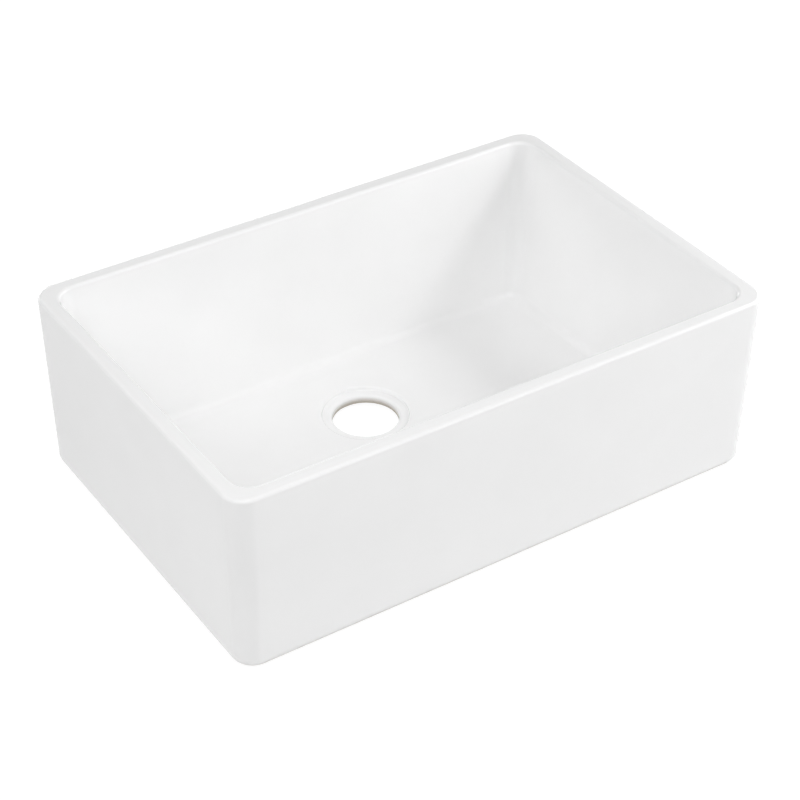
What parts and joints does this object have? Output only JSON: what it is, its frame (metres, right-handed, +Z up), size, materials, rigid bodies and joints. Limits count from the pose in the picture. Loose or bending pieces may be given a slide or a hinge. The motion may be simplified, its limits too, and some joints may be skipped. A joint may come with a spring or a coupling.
{
  "type": "apron front sink",
  "caption": "Rectangular apron front kitchen sink in glazed fireclay, with a deep bowl, leaning inner walls, and a floor that falls to a recessed round waste outlet near the back.",
  "frame": {"origin": "on the floor plane, under the middle of the rim", "axes": "+X to the right along the apron, -Y out of the apron, +Z up out of the bowl"},
  "size_m": [0.7618, 0.5078, 0.254],
  "materials": {
    "glazed_fireclay": "gloss"
  },
  "bodies": {
    "root": {"basin": "glazed_fireclay"}
  },
  "joints": []
}
